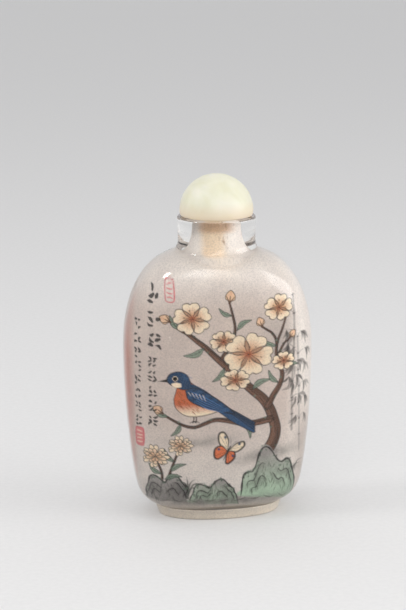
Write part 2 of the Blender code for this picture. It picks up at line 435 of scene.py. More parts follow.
def new_material(name, **values):
    """A material with its own Principled shader, and the helper that adds nodes before it."""
    material = bpy.data.materials.new(name)
    material.use_nodes = True
    nodes = Nodes(material.node_tree)
    shader = material.node_tree.nodes["Principled BSDF"]
    for socket, value in values.items():
        shader.inputs[socket.replace("_", " ")].default_value = value
    return material, nodes, shader.inputs


def object_place(nodes):
    return nodes.add("ShaderNodeTexCoord", out=3)


def noise(nodes, place, scale, **more):
    return nodes.add("ShaderNodeTexNoise", {"Vector": place, "Scale": scale, "Detail": 3.0, **more})


def ramp(nodes, value, stops):
    node = nodes.add("ShaderNodeValToRGB", {"Fac": value}).node
    band = node.color_ramp
    while len(band.elements) < len(stops):
        band.elements.new(0.5)
    for element, (position, tone) in zip(band.elements, stops):
        element.position, element.color = position, (*tone, 1.0)
    return node.outputs[0]


def mixed(nodes, share, first, second, blend="MIX"):
    node = nodes.add("ShaderNodeMix", data_type="RGBA", blend_type=blend).node
    for place, source in ((0, share), (6, first), (7, second)):
        if isinstance(source, bpy.types.NodeSocket):
            nodes.tree.links.new(source, node.inputs[place])
        else:
            node.inputs[place].default_value = source
    return node.outputs[2]


def clear_glass():
    return new_material(
        "Clear Glass",
        Base_Color=(0.985, 0.985, 0.975, 1.0),
        Roughness=0.0,
        IOR=1.5,
        Transmission_Weight=1.0,
    )[0]


def frosting_and_paint():
    material, nodes, inputs = new_material("Frosting And Paint", Roughness=0.9, Specular_IOR_Level=0.0)
    paint = nodes.add("ShaderNodeAttribute", attribute_name="paint").node.outputs
    place = object_place(nodes)
    grain = noise(nodes, place, 3300.0, Detail=3.0, Roughness=0.7)
    cloud = noise(nodes, place, 260.0, Detail=4.0)
    stops = ((0.32, (0.82, 0.82, 0.83)), (0.5, (0.99, 0.99, 0.99)), (0.68, (1.12, 1.11, 1.10)))
    fine = ramp(nodes, grain, stops)
    broad = ramp(nodes, cloud, ((0.3, (0.95, 0.94, 0.94)), (0.7, (1.03, 1.03, 1.02))))
    tone = mixed(nodes, 1.0, mixed(nodes, 1.0, paint["Color"], fine, "MULTIPLY"), broad, "MULTIPLY")
    nodes.wire(tone, inputs["Base Color"])
    nodes.tree.links.new(paint["Alpha"], inputs["Alpha"])
    return material


def polished_stone():
    material, nodes, inputs = new_material(
        "Polished Pale Stone",
        Roughness=0.42,
        Subsurface_Weight=0.30,
        Subsurface_Radius=(1.0, 0.9, 0.6),
        Subsurface_Scale=1.0 * MM,
        IOR=1.55,
    )
    place = object_place(nodes)
    cloud = noise(nodes, place, 190.0, Detail=6.0, Distortion=0.6)
    stops = ((0.32, (0.735, 0.71, 0.53)), (0.5, (0.78, 0.76, 0.60)), (0.7, (0.82, 0.79, 0.66)))
    tone = ramp(nodes, cloud, stops)
    height = nodes.add("ShaderNodeSeparateXYZ", {0: place}, out=2)
    low = nodes.ranged(height, DOME_LOW.z, DOME_LOW.z + 3.5 * MM, 0.8, 0.0)
    tone = mixed(nodes, low, tone, (0.80, 0.64, 0.47, 1.0))
    nodes.wire(tone, inputs["Base Color"])
    wave = noise(nodes, place, 420.0)
    bump = nodes.add("ShaderNodeBump", {"Height": wave, "Strength": 0.03, "Distance": 0.05 * MM})
    nodes.wire(bump, inputs["Normal"])
    return material


def raw_cork():
    material, nodes, inputs = new_material("Raw Cork", Roughness=0.85, Specular_IOR_Level=0.25)
    place = object_place(nodes)
    cell = nodes.add("ShaderNodeTexVoronoi", {"Vector": place, "Scale": 1900.0}, out=0)
    cloud = noise(nodes, place, 560.0, Detail=6.0, Roughness=0.65)
    tone = ramp(
        nodes,
        cloud,
        ((0.34, (0.16, 0.07, 0.03)), (0.42, (0.50, 0.28, 0.14)), (0.52, (0.78, 0.55, 0.35)),
         (0.75, (0.88, 0.70, 0.50))),
    )
    speck = ramp(nodes, cell, ((0.05, (0.70, 0.62, 0.55)), (0.35, (1.0, 1.0, 1.0))))
    tone = mixed(nodes, 0.6, tone, speck, "MULTIPLY")
    height = nodes.add("ShaderNodeSeparateXYZ", {0: place}, out=2)
    # Darker towards the top: a painted shadow of the stone cap over the cork
    band = nodes.ranged(height, CORK_HIGH.z - 3.2 * MM, CORK_HIGH.z - 1.6 * MM, 0.0, 0.55)
    tone = mixed(nodes, band, tone, (0.30, 0.155, 0.07, 1.0))
    nodes.wire(tone, inputs["Base Color"])
    bump = nodes.add("ShaderNodeBump", {"Height": cloud, "Strength": 0.6, "Distance": 0.15 * MM})
    nodes.wire(bump, inputs["Normal"])
    return material


def pale_floor(tone):
    material, nodes, inputs = new_material("Pale Floor", Roughness=0.75, Specular_IOR_Level=0.2)
    place = object_place(nodes)
    cloud = noise(nodes, place, 900.0)
    dull = tuple(channel * 0.97 for channel in tone)
    nodes.tree.links.new(ramp(nodes, cloud, ((0.35, dull), (0.65, tuple(tone)))), inputs["Base Color"])
    return material


# Painting: colours laid on the points of the lining, in millimetres round the wall and up


def linear(tone):
    tone = np.asarray(tone, float)
    return np.where(tone <= 0.04045, tone / 12.92, ((tone + 0.055) / 1.055) ** 2.4)


def smooth_path(points, per_span=8):
    """A smooth line through the points, as a brush would draw it."""
    points = np.asarray(points, float)
    ends = np.concatenate([2 * points[:1] - points[1:2], points, 2 * points[-1:] - points[-2:-1]])
    t = (np.arange(per_span) / per_span)[:, None]
    spans = []
    for p0, p1, p2, p3 in zip(ends, ends[1:], ends[2:], ends[3:]):
        bend, twist = 2 * p0 - 5 * p1 + 4 * p2 - p3, 3 * p1 - 3 * p2 + p3 - p0
        spans.append(0.5 * (2 * p1 + (p2 - p0) * t + bend * t**2 + twist * t**3))
    return np.concatenate([*spans, points[-1:]])


def cloud_noise(across, up, size, seed):
    """Soft noise from 0 to 1 whose patches are about the size, in mm."""
    lattice = np.random.default_rng(seed).random((64, 64))
    total, weight = np.zeros_like(across), 0.0
    for octave in range(3):
        x, y = across / size * 2**octave + 17.3 * octave, up / size * 2**octave + 5.1 * octave
        i, j = np.floor(x).astype(int), np.floor(y).astype(int)
        u, v = x - i, y - j
        u, v = u * u * (3 - 2 * u), v * v * (3 - 2 * v)
        i, j, k, m = i % 64, j % 64, (i + 1) % 64, (j + 1) % 64
        value = (lattice[i, j] * (1 - u) + lattice[k, j] * u) * (1 - v)
        value += (lattice[i, m] * (1 - u) + lattice[k, m] * u) * v
        total, weight = total + value / 2**octave, weight + 1 / 2**octave
    return total / weight


class Panel:
    """One painted face: where its points lie in mm, the paints by name, and the points' colours."""

    def __init__(self, across, up, tones):
        self.across, self.up = across, up
        self.__dict__.update(tones)
        self.tone = np.zeros((len(across), 3))

    def lay(self, where, share, tone):
        share = unit(share)[:, None]
        self.tone[where] = self.tone[where] * (1.0 - share) + np.asarray(tone) * share

    def inside(self, points, margin):
        low, high = points.min(0) - margin, points.max(0) + margin
        beside = (self.across > low[0]) & (self.across < high[0])
        return np.flatnonzero(beside & (self.up > low[1]) & (self.up < high[1]))

    def gap(self, where, path, halves):
        """How far each point is outside a line whose half width changes along it."""
        x, y = self.across[where][:, None], self.up[where][:, None]
        start, step = path[:-1], np.diff(path, axis=0)
        span = np.maximum((step**2).sum(1), 1e-9)
        t = unit(((x - start[:, 0]) * step[:, 0] + (y - start[:, 1]) * step[:, 1]) / span)
        away = np.hypot(x - start[:, 0] - step[:, 0] * t, y - start[:, 1] - step[:, 1] * t)
        return (away - halves[:-1] - (halves[1:] - halves[:-1]) * t).min(1)

    def stroke(self, points, widths, tone, share=1.0, soft=0.16, dry=0.0, seed=1):
        """A brush stroke through the points. Dry leaves gaps in it, as a brush short of ink does."""
        path = smooth_path(points)
        spots = np.linspace(0.0, 1.0, len(path))
        halves = 0.5 * np.interp(spots, np.linspace(0.0, 1.0, len(widths)), widths)
        where = self.inside(path, halves.max() + soft)
        if len(where) == 0:
            return
        cover = 0.5 - self.gap(where, path, halves) / soft
        if dry:
            speckle = cloud_noise(self.across[where], self.up[where], 0.35, seed)
            cover = cover * unit(1.0 - dry * 2.4 * (speckle - 0.35))
        self.lay(where, unit(cover) * share, tone)

    def outline(self, shape, *how, **more):
        self.stroke([*shape, shape[0]], *how, **more)

    def dot(self, spot, wide, *how):
        self.stroke([spot, spot + 0.02], (wide, wide), *how)

    def fill(self, points, tone, share=1.0, soft=0.16, closed_by_curve=True):
        """A filled shape. The tone may be a function of the points' places."""
        shape = np.asarray(points, float)
        if closed_by_curve:
            shape = smooth_path(np.concatenate([shape, shape[:1]]), 6)
        where = self.inside(shape, soft)
        if len(where) == 0:
            return
        x, y = self.across[where][:, None], self.up[where][:, None]
        a, b = shape, np.roll(shape, -1, axis=0)
        rises = np.where(np.abs(b[:, 1] - a[:, 1]) < 1e-9, 1e-9, b[:, 1] - a[:, 1])
        meets = (b[:, 0] - a[:, 0]) * (y - a[:, 1]) / rises + a[:, 0]
        crossing = ((a[:, 1] > y) != (b[:, 1] > y)) & (x < meets)
        within = crossing.sum(1) % 2 == 1
        edge = self.gap(where, np.concatenate([shape, shape[:1]]), np.zeros(len(shape) + 1))
        cover = np.where(within, 0.5 + edge / soft, 0.5 - edge / soft)
        if callable(tone):
            tone = tone(self.across[where], self.up[where])
        self.lay(where, unit(cover) * share, tone)

    def wash(self, centre, size, tone, share, turn=0.0, seed=5):
        """A soft patch of thin colour, uneven as diluted ink is."""
        x, y = self.across - centre[0], self.up - centre[1]
        u, v = (x * cos(turn) + y * sin(turn)) / size[0], (y * cos(turn) - x * sin(turn)) / size[1]
        where = np.flatnonzero(u * u + v * v < 9.0)
        fade = np.exp(-1.2 * (u[where] ** 2 + v[where] ** 2))
        mottle = cloud_noise(self.across[where], self.up[where], 1.6, seed)
        self.lay(where, share * fade * (0.45 + 1.1 * mottle), tone)


def blended(tones, share):
    share = unit(share)[:, None]
    return tones[0] * (1.0 - share) + tones[1] * share


def heading(turn):
    """Unit steps along a direction and to its left."""
    way = np.array([cos(turn), sin(turn)])
    return way, np.array([-way[1], way[0]])


def laid(centre, way, side, spots):
    """The spots, as shares of a length along the way and of another to its side."""
    return [centre + way * u + side * v for u, v in spots]


def lay_ground(panel, haze_side):
    """Frosting: greyer on the faces, paler at the shoulders and the foot, tan over the cork.

    The paler shoulders and neck are partly painted light, and the paler side is partly a painted
    reflection of its lamp; it lies on the right where the pale side is 1.0 and on the left where it
    is -1.0, and the warm painted reflection lies on the other side. The darker lower corner of the
    pale side is painted shade, the dark band at the top of the neck is a painted shadow of the cap,
    and the small pale dots are painted glints.
    """
    x, z = panel.across, panel.up
    panel.tone[:] = panel.ground * (0.95 + 0.10 * cloud_noise(x, z, 5.0, 11))[:, None]
    everywhere = np.arange(len(x))
    # In turn: the shoulders, paler partly by painted light; one side, paler partly by a painted reflection;
    # the foot; its darker corner, painted shade; the warm painted reflection; the tan over the cork; and
    # the neck's top, paler partly by painted light
    for share, tone in (
        # Thinner frosting and painted light from above
        (unit((z - 46.0) / 8.0) * 0.9, panel.haze),
        # Thinner frosting and a painted reflection of the lamp on this side
        (unit((x * haze_side - 13.0) / 4.0) * np.clip((z - 8.0) / 20.0, 0.3, 1) * 0.9, panel.haze * 1.08),
        (unit((24.0 - z) / 16.0) * 0.8, panel.haze),
        # Painted shade
        (unit((x * haze_side - 14.5) / 3.0) * unit((27.0 - z) / 9.0) * 0.6, panel.ground * 0.78),
        # Painted reflection
        (unit((-x * haze_side - 18.8) / 2.6) * unit((52.0 - z) / 16.0), panel.warm_reflection),
        (unit((z - 51.0) / 4.0) * np.exp(-((x / 3.6) ** 2)) * 0.26, panel.cork),
        # Paler frosting and painted light in the neck, which the cap shades
        (unit((z - 56.0) / 2.0) * (0.7 + 0.3 * unit(x - 1.0)), panel.haze * 1.25),
    ):
        panel.lay(everywhere, share, tone)
    seen = np.exp(-(((x + 1.3) / 2.1) ** 4)) * (0.70 + 0.7 * cloud_noise(x, z, 1.6, 31))
    panel.lay(everywhere, unit((z - 54.6) / 2.2) * seen, panel.cork)
    cracks = unit((cloud_noise(x, z * 0.6, 0.7, 33) - 0.56) * 7.0) * np.exp(-(((x - 0.4) / 0.9) ** 2))
    panel.lay(everywhere, unit((z - 56.0) / 1.0) * cracks * 0.8, panel.cork * (0.42, 0.31, 0.24))
    # Darker at the top of the neck: a painted shadow of the cap on the cork
    cap_shadow = unit((z - 61.3) / 0.8) * np.exp(-(((x + 0.6) / 3.2) ** 4))
    panel.lay(everywhere, cap_shadow * 0.75, panel.cork * (0.68, 0.52, 0.41))
    # Small pale dots: painted glints
    draw = np.random.default_rng(41).uniform
    for _ in range(34):
        spot = np.array([draw(-17.0, 17.0), draw(6.0, 52.0)])
        panel.dot(spot, 0.22, panel.haze * 1.1, draw(0.4, 0.9))


def paint_rock(panel, left, foot, wide, tall, seed, washes=("stone", "celadon"), dark=1.0):
    """A garden rock of rounded lumps: two washes, an ink outline, shaded inner ridges and moss."""
    generator = np.random.default_rng(seed)
    middle, turn = left + wide / 2, np.linspace(0.0, pi, 56)
    reach = 0.78 + 0.24 * np.abs(np.sin(2.3 * turn + seed)) + 0.07 * np.sin(7.3 * turn + 2.0 * seed)
    lumps = np.stack([np.cos(turn) * wide / 2, np.sin(turn) ** 0.75 * tall], 1) * reach[:, None]

    low_wash, high_wash = (getattr(panel, wash) * dark for wash in washes)

    def washed(x, z):
        share = unit(1.25 - (z - foot) / tall * 1.4)
        shade = 0.84 + 0.44 * cloud_noise(x, z, 2.0, seed) - 0.45 * np.clip((x - middle) / wide, -0.3, 0.5)
        return blended((low_wash * 1.3, high_wash * 1.15), share) * shade[:, None]

    panel.fill(lumps[::2] + (middle, foot), washed, 0.95, 0.3)
    ridges = ((0.74, 3, 26, 0.06), (0.70, 28, 52, -0.07), (0.52, 8, 30, 0.05), (0.46, 24, 50, -0.10))
    for size, first, last, shift in ((1.0, 0, 56, 0.0), *ridges):
        ridge = lumps[first:last:2] * size * (1.0, 0.96) + (middle + shift * wide, foot)
        if size < 1.0:
            panel.stroke(ridge - (0.0, 0.05 * tall), (0.2, 1.3, 0.3), panel.ink * 2.0, 0.34, 0.9)
        for start in range(0, len(ridge) - 3, 3):
            thick = (0.52 if size == 1.0 else 0.34) * generator.uniform(0.6, 1.2)
            part, share = ridge[start : start + 5], 0.92 * size**0.3
            panel.stroke(part, (0.12, thick, 0.12), panel.ink, share, dry=0.25, seed=start)
    for k in range(int(3 * wide)):
        a, near = generator.uniform(0.3, 2.8), generator.uniform(0.35, 0.9)
        spot = np.array([middle + cos(a) * wide / 2 * near, foot + sin(a) * tall * near * 0.9])
        lean = generator.uniform(-0.3, 0.3)
        crease = [spot, spot + (lean, -0.5), spot + (lean * 2, -1.1)]
        panel.stroke(crease, (0.06, 0.22, 0.06), panel.ink, 0.6, dry=0.5, seed=k)
    for k in range(int(3 * wide)):
        spot = lumps[generator.integers(8, 50)] * generator.uniform(0.86, 1.02) + (middle, foot)
        moss = panel.celadon * generator.uniform(0.12, 0.5)
        panel.stroke([spot, spot + (0.03, 0.12)], (0.34, 0.24), moss, 0.8)


def paint_branch(panel, points, widths, seed):
    """A gnarled branch: brown body, darker lower edge, ink outline and knots."""
    path = smooth_path(points)
    generator = np.random.default_rng(seed)
    path = path + generator.normal(0.0, 0.05, path.shape)
    widths = np.interp(np.linspace(0, 1, len(path)), np.linspace(0, 1, len(widths)), widths)
    side = np.gradient(path, axis=0)
    side = np.stack([-side[:, 1], side[:, 0]], 1) / np.linalg.norm(side, axis=1)[:, None]
    few = slice((len(path) - 1) % 3, None, 3)
    panel.stroke(path[few], widths[few] + 0.22, panel.ink, 0.9, 0.14)
    panel.stroke(path[few], widths[few] - 0.10, panel.bark, 1.0, 0.14)
    lit = path + side * widths[:, None] * 0.20
    panel.stroke(lit[few], widths[few] * 0.42, panel.bark * 2.3, 0.6, 0.3, 0.5)
    for k in range(0, len(path) - 4, 2):
        edge = path[k : k + 4] - side[k : k + 4] * widths[k : k + 4, None] * generator.uniform(-0.36, 0.45)
        panel.stroke(edge, (0.06, 0.20, 0.06), panel.ink, 0.75, dry=0.3, seed=k)
    for k in range(3, len(path) - 4, 5):
        spot = path[k] + side[k] * widths[k] * 0.4 * generator.choice((-1.0, 1.0))
        moss = panel.celadon * generator.uniform(0.1, 0.5)
        panel.stroke([spot, spot + (0.12, 0.16)], (0.38, 0.24), moss, 0.8)


PETAL_RIM = (
    (-0.10, 0.10), (-0.46, 0.48), (-0.60, 0.80), (-0.36, 1.0), (-0.10, 0.97), (0.03, 0.90),
    (0.18, 1.0), (0.44, 0.98), (0.60, 0.74), (0.42, 0.42), (0.10, 0.10),
)


def paint_blossom(panel, centre, radius, turn, squash=0.86):
    """An open flower, with five notched petals, a flushed heart and stamens."""
    centre = np.array(centre)

    def spot(angle, reach):
        return centre + np.array([cos(angle), sin(angle) * squash]) * reach * radius

    heart = [spot(angle, 0.66) for angle in np.linspace(0.0, 2 * pi, 12, endpoint=False)]
    panel.fill(heart, panel.flush * 0.62, 0.9)
    for k in (1, 3, 0, 2, 4):
        middle = turn + 2 * pi * k / 5
        shape = [spot(middle + offset, reach) for offset, reach in PETAL_RIM]

        def flushed(x, z):
            away = np.hypot(x - centre[0], (z - centre[1]) / squash) / radius
            return blended((panel.flush, panel.petal), (away - 0.20) / 0.55)

        panel.fill(shape, flushed, 0.97)
        panel.outline(shape, (0.10, 0.20, 0.13, 0.22, 0.12, 0.20, 0.10), panel.ink * 1.6, 0.9, 0.14)
        for offset in (-0.28, -0.10, 0.10, 0.28):
            steps = ((0.5, 0.22), (1.0, 0.50), (1.15, 0.74))
            vein = [spot(middle + offset * bend, reach) for bend, reach in steps]
            panel.stroke(vein, (0.13, 0.09, 0.03), panel.flush * 0.72, 0.6)
    panel.wash(centre, (radius * 0.20, radius * 0.18), panel.rust, 0.75)
    for k in range(11):
        angle = turn + 0.3 + 2 * pi * k / 11
        tip = spot(angle, 0.34 + 0.10 * (k % 3))
        panel.stroke([centre, (centre + tip) / 2, tip], (0.07, 0.06), panel.ink * 1.5, 0.75)
        panel.dot(tip, 0.26, panel.bark * 1.3, 0.95)


def paint_bud(panel, centre, radius, turn):
    """A closed flower in its dark cup."""
    centre, (way, side) = np.array(centre), heading(turn)
    way, side = way * radius, side * radius
    spots = ((-0.7, 0.0), (-0.3, 0.8), (0.5, 0.75), (1.2, 0.05), (0.5, -0.75), (-0.3, -0.8))
    shape = laid(centre, way, side, spots)
    panel.fill(shape, panel.flush * 0.6 + panel.petal * 0.4)
    panel.outline(shape, (0.12, 0.18, 0.12), panel.ink * 1.5, 0.9)
    panel.stroke([centre - way * 0.3, centre + way * 1.1], (0.12, 0.05), panel.rust * 0.8, 0.7)
    for lean in (-0.7, 0.0, 0.7):
        panel.stroke([centre - way, centre + way * 0.15 + side * lean], (0.34, 0.14), panel.bark, 0.95)


def paint_leaf(panel, foot, reach, turn, tone=None, share=0.9, broad=0.30, lined=True):
    """A pointed leaf with a midrib, celadon where no other tone is given."""
    tone = panel.celadon * 0.72 if tone is None else tone
    foot, (way, side) = np.array(foot), heading(turn)
    bend = 0.12 * reach
    edge = ((0.0, 0.0), (0.30, 1.0), (0.62, 0.85), (1.0, 0.0), (0.62, -0.6), (0.30, -0.8))
    spots = [(u, v * broad) for u, v in edge]
    shape = [foot + way * u * reach + side * (v * reach * 0.5 + bend * u * (1 - u) * 4) for u, v in spots]
    shade = shape[:1] + shape[3:]
    panel.fill(shape, tone, share)
    panel.fill(shade, tone * 0.6, share * 0.55)
    if lined:
        panel.outline(shape, (0.12, 0.17, 0.10, 0.15, 0.10), panel.ink, 0.8, 0.13)
        ribs = [foot + way * u * reach + side * bend * u * (1 - u) * 4 for u in (0.0, 0.35, 0.7, 1.0)]
        panel.stroke(ribs, (0.16, 0.12, 0.05), panel.ink, 0.75)
        for u in (0.25, 0.42, 0.6):
            rib = foot + way * u * reach + side * bend * u * (1 - u) * 4
            for lean in (-1, 1):
                tip = rib + way * reach * 0.13 + side * lean * reach * broad * 0.36
                panel.stroke([rib, tip], (0.08, 0.03), panel.ink, 0.6)


def paint_bird(panel, feet, size):
    """A small perched bird with a dark back, a warm breast and a pale belly."""
    def at(points):
        return np.array(feet) + np.array(points) * size * (-1.0, 1.0)

    for lean in (-0.12, 0.22):
        leg = at([(lean, 1.0), (lean - 0.05, 0.35), (lean + 0.05, -0.1)])
        panel.stroke(leg, (0.26, 0.18), panel.bark * 0.8)
        for toe in (-0.45, 0.1, 0.5):
            panel.stroke(at([(lean, 0.02), (lean + toe, -0.22)]), (0.2, 0.12), panel.ink, 0.9)
    for k, lean in enumerate((0.55, 0.25, 0.0, -0.25)):
        tail = at([(-3.2, 1.9 + lean * 0.4), (-5.6, 0.2 + lean), (-8.2, -1.5 + lean * 1.5)])
        panel.stroke(tail, (0.9 * size, 0.95 * size, 0.5 * size), panel.ink, 0.95)
        panel.stroke(tail, (0.72 * size, 0.76 * size, 0.3 * size), panel.navy * (0.75 + 0.22 * k))
    under = [(2.9, 3.2), (2.6, 1.9), (1.3, 0.85), (-0.6, 0.7), (-2.8, 1.2)]
    body = at([*under, (-4.0, 1.9), (-2.6, 3.4), (-0.4, 4.9), (1.4, 6.1), (2.3, 5.2)])

    def breast(x, z):
        low = (z - feet[1]) / size
        return blended((panel.petal * 1.02, panel.rust), (low - 1.1) / 1.4)

    panel.fill(body, breast)
    panel.outline(body, (0.16, 0.22, 0.14), panel.ink, 0.85)
    draw = np.random.default_rng(4).uniform
    for k in range(70):
        u, v = draw(-1.8, 2.6), draw(1.0, 4.4)
        if v > 1.2 + 0.42 * abs(u):
            start = at([(u, v)])[0]
            panel.stroke([start, start + np.array([0.34, -0.36]) * size], (0.20, 0.08), panel.rust * 0.6, 0.7)
    crown = [(0.4, 5.0), (1.0, 6.6), (2.1, 7.2), (3.3, 6.9)]
    head = at([*crown, (3.8, 6.1), (3.4, 5.4), (2.4, 4.9), (1.4, 4.6)])
    panel.fill(head, panel.navy)
    panel.outline(head, (0.14, 0.22, 0.14), panel.ink, 0.9)
    cheek = at([(1.9, 5.5), (2.6, 5.65), (3.2, 5.4), (2.7, 4.95), (1.9, 5.0)])
    panel.fill(cheek, panel.petal * 1.05)
    beak = at([(3.75, 6.15), (5.0, 5.75), (3.7, 5.65)])
    panel.fill(beak, panel.ink * 1.6, closed_by_curve=False)
    eye = at([(2.7, 6.2)])[0]
    for reach, tone in ((0.72, panel.petal), (0.60, panel.ink * 0.3)):
        panel.dot(eye, reach * size, tone, 1.0, 0.10)
    back = at(
        [(1.2, 5.2), (0.4, 5.4), (-1.6, 4.3), (-3.4, 2.6), (-4.4, 1.8), (-2.6, 2.1), (-0.6, 2.8), (0.8, 3.8)]
    )
    panel.fill(back, panel.navy * 0.9)
    wing = at(
        [(1.3, 4.5), (0.9, 3.2), (-0.6, 2.2), (-2.8, 1.5), (-5.4, 0.9), (-4.2, 2.2), (-2.2, 3.7), (-0.2, 4.8)]
    )

    def feathered(x, z):
        share = unit(0.5 + 0.5 * np.sin(((feet[0] - x) * 0.55 + z - feet[1]) / size * 5.2))
        return blended((panel.navy * 0.8, panel.navy * 2.0), share * 0.6)

    panel.fill(wing, feathered)
    panel.outline(wing, (0.16, 0.24, 0.14), panel.ink, 0.95)
    for k in range(9):
        v = 0.21 * k
        feather = at([(0.5 - v * 0.5, 4.3 - v), (-1.8, 3.1 - v * 0.8), (-4.6 + v * 0.4, 1.35 - v * 0.12)])
        tone, share = ((panel.navy * 4.0, 0.7), (panel.ink, 0.85))[k % 2]
        panel.stroke(feather, (0.14, 0.32, 0.14), tone, share, 0.1)
    for k in range(24):
        start = at([(draw(0.8, 3.2), draw(5.6, 6.9))])[0]
        if np.hypot(*(start - at([(2.7, 6.2)])[0])) > 0.8 * size:
            panel.stroke([start, start + np.array([0.5, -0.14]) * size], (0.12, 0.05), panel.navy * 2.6, 0.6)
    for k in range(5):
        fleck = at([(0.9 - 0.5 * k, 4.2 - 0.12 * k), (0.55 - 0.5 * k, 3.7 - 0.2 * k)])
        panel.stroke(fleck, (0.16, 0.06), panel.haze, 0.8)


def paint_bamboo(panel, foot, height, lean, seed, share):
    """Jointed stalks with hanging leaves, in thin grey ink."""
    tone = panel.stone * 0.55
    generator = np.random.default_rng(seed)
    joints = [np.array(foot, float)]
    while joints[-1][1] < foot[1] + height:
        joints.append(joints[-1] + np.array([lean * 3.6 + generator.normal(0, 0.12), 3.6]))
    for low, high in zip(joints, joints[1:]):
        stalk = [low + (0, 0.14), (low + high) / 2, high - (0, 0.14)]
        panel.stroke(stalk, (0.62, 0.50, 0.60), tone, share * 0.9, 0.2, 0.4)
        panel.stroke([high - (0.42, 0.02), high, high + (0.42, 0.04)], (0.10, 0.26, 0.10), panel.ink, share)
    for joint in joints[2:]:
        for side in (-1, 1):
            if generator.random() < 0.25:
                continue
            knot = joint + np.array([side * generator.uniform(0.8, 2.2), generator.uniform(0.3, 1.6)])
            panel.stroke([joint, (joint + knot) / 2 + (0, 0.2), knot], (0.16, 0.12, 0.08), panel.ink, share)
            for _ in range(generator.integers(3, 6)):
                turn = -pi / 2 + side * generator.uniform(-0.2, 1.15)
                reach = generator.uniform(1.8, 3.4)
                dark = panel.ink * generator.uniform(1.0, 4.0)
                paint_leaf(panel, knot, reach, turn, dark, share, 0.24, lined=False)


def paint_grass(panel, foot, reach, count, seed, share=0.85):
    """A tuft of long bent leaves."""
    generator = np.random.default_rng(seed)
    foot = np.array(foot, float)
    for k in range(count):
        way = generator.uniform(-1.0, 1.0)
        tall = reach * generator.uniform(0.55, 1.0)
        start = foot + (generator.normal(0, 0.25), 0)
        tip = start + (way * tall * 0.85, tall * (0.95 - 0.35 * abs(way)))
        path = [start, start + (way * tall * 0.25, tall * 0.6), tip]
        tone = panel.ink * generator.uniform(1.0, 3.0) + panel.celadon * 0.10
        panel.stroke(path, (0.12, 0.34, 0.04), tone, share, dry=0.2, seed=k)


def paint_butterfly(panel, centre, size, turn):
    """A butterfly with both pairs of wings open, in cream and rust with dark borders."""
    spin = np.array([[cos(turn), -sin(turn)], [sin(turn), cos(turn)]])

    def at(points, side=1.0):
        return np.array(centre) + (np.array(points) * size * (side, 1.0)) @ spin.T

    for side in (-1.0, 0.72):
        for outline, tone in (
            ([(0.1, 0.3), (0.8, 1.7), (2.0, 2.5), (2.6, 1.9), (1.9, 0.7), (0.6, 0.0)], panel.petal),
            ([(0.1, 0.1), (1.3, 0.4), (2.0, -0.4), (1.5, -1.6), (0.8, -1.7), (0.2, -0.7)], panel.rust * 1.2),
        ):
            shape = at(outline, side)
            panel.fill(shape, tone)
            panel.outline(shape, (0.10, 0.30, 0.44, 0.40, 0.24, 0.10), panel.ink, 0.9)
            for rib in shape[1:-1]:
                panel.stroke([shape[0], shape[0] + (rib - shape[0]) * 0.88], (0.05, 0.10), panel.ink, 0.7)
            spot = shape[0] + (shape[2] - shape[0]) * 0.72
            panel.dot(spot, 0.42 * size, panel.navy, 0.9)
    panel.stroke(at([(0.0, 0.9), (0.0, 0.0), (0.05, -1.5)]), (0.30, 0.42, 0.14), panel.ink, 0.95)
    for lean in (-0.7, 0.5):
        panel.stroke(at([(0.0, 0.9), (lean * 0.5, 1.7), (lean, 2.2)]), (0.07, 0.06), panel.ink, 0.85)


def paint_full_flower(panel, centre, radius):
    """A full flower of many narrow petals, laid from the outer ring inwards."""
    for ring, (reach, count) in enumerate(((1.0, 13), (0.74, 10), (0.46, 6))):
        for k in range(count):
            turn = 2 * pi * (k + 0.5 * (ring % 2)) / count + 0.12 * sin(3.0 * k + ring)
            way = np.array([cos(turn), 0.80 * sin(turn)]) * radius * reach * (1.0 + 0.08 * sin(5.0 * k))
            side = np.array([-sin(turn), 0.80 * cos(turn)]) * radius * (0.20 - 0.03 * ring)
            spots = ((0.1, 0.0), (0.5, 0.6), (0.82, 0.9), (1.04, 0.1), (0.86, -0.8), (0.5, -0.6))
            shape = laid(centre, way, side, spots)
            panel.fill(shape, blended((panel.petal, panel.flush), np.array([0.34 * ring]))[0])
            panel.outline(shape, (0.08, 0.17, 0.10), panel.ink * 1.4, 0.85, 0.13)
            panel.stroke([centre + way * 0.3, centre + way * 0.8], (0.16, 0.04), panel.flush * 0.75, 0.6)


def paint_brush_marks(panel, across, top, size, count, seed):
    """A column of loose clusters of brush dabs, which cross nowhere and spell nothing."""
    generator = np.random.default_rng(seed)
    for k in range(count):
        up = top - k * 1.28 * size
        for row in range(3):
            for side in (-1.0, 1.0):
                if generator.random() < 0.2:
                    continue
                shift = generator.uniform(-0.05, 0.05, 2) * size
                middle = np.array([across + side * 0.20 * size, up - (row + 0.5) * size / 3]) + shift
                turn = generator.uniform(-1.2, 1.2)
                way = np.array([cos(turn), sin(turn)]) * size * generator.uniform(0.11, 0.18)
                bend = np.array([-way[1], way[0]]) * generator.uniform(-0.5, 0.5)
                widths = np.array([0.13, 0.20, 0.04]) * size * generator.uniform(0.8, 1.2)
                panel.stroke([middle + way, middle + bend, middle - way], widths, panel.ink, 0.9, 0.13)


